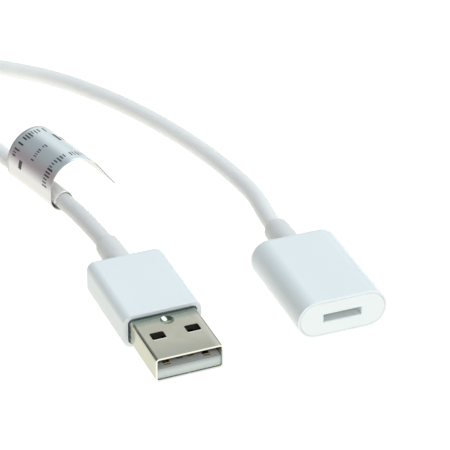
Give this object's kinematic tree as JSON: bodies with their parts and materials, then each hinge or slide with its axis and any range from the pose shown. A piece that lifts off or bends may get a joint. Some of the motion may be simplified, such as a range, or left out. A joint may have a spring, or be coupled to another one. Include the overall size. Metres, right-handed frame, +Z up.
{
  "type": "usb extension cable",
  "caption": "White charging and data cable: a full-size USB plug, a small flat reversible socket, soft collars, a thin cord with a coil put away, and a curled film label.",
  "frame": {"origin": "centre of the plug housing's flat underside, on the table", "axes": "+Y from the plug's tip towards its cord, +X from the plug towards the socket, +Z up from the table"},
  "size_m": [0.084, 0.1343, 0.0098],
  "materials": {
    "nickel_plate": "bright nickel plate on folded sheet steel",
    "white_shell_plastic": "smooth semi-gloss white moulding",
    "white_soft_plastic": "soft satin white moulding",
    "cord_jacket": "soft satin white jacket",
    "insulator_plastic": "pale matt moulding",
    "inner_mould_plastic": "natural matt moulding",
    "gilt_contact": "gilt contact strip",
    "board_laminate": "green solder-resist laminate",
    "tie_strap": "dark woven strap",
    "label_film": "glossy silvered film with a clear end",
    "wire_red": "red wire insulation",
    "wire_white": "white wire insulation",
    "wire_green": "green wire insulation",
    "wire_black": "black wire insulation"
  },
  "bodies": {
    "root": {"cable_coil": "cord_jacket", "cable_plug_side": "cord_jacket", "cable_socket_side": "cord_jacket", "coil_tie": "tie_strap", "contact_data_minus": "gilt_contact", "contact_data_plus": "gilt_contact", "contact_ground": "gilt_contact", "contact_power": "gilt_contact", "label": "label_film", "plug_housing": "white_shell_plastic", "plug_inner_mould": "inner_mould_plastic", "plug_insulator": "insulator_plastic", "plug_shell": "nickel_plate", "plug_strain_relief": "white_soft_plastic", "plug_wire_data_minus": "wire_white", "plug_wire_data_plus": "wire_green", "plug_wire_ground": "wire_black", "plug_wire_power": "wire_red", "socket_board": "board_laminate", "socket_contact_1": "gilt_contact", "socket_contact_2": "gilt_contact", "socket_contact_3": "gilt_contact", "socket_contact_4": "gilt_contact", "socket_contact_5": "gilt_contact", "socket_contact_6": "gilt_contact", "socket_contact_7": "gilt_contact", "socket_contact_8": "gilt_contact", "socket_front_plate": "white_shell_plastic", "socket_housing": "white_shell_plastic", "socket_inner_mould": "inner_mould_plastic", "socket_insulator": "insulator_plastic", "socket_latch_left": "nickel_plate", "socket_latch_right": "nickel_plate", "socket_shell": "nickel_plate", "socket_strain_relief": "white_soft_plastic", "socket_wire_data_minus": "wire_white", "socket_wire_data_plus": "wire_green", "socket_wire_ground": "wire_black", "socket_wire_power": "wire_red"}
  },
  "joints": []
}
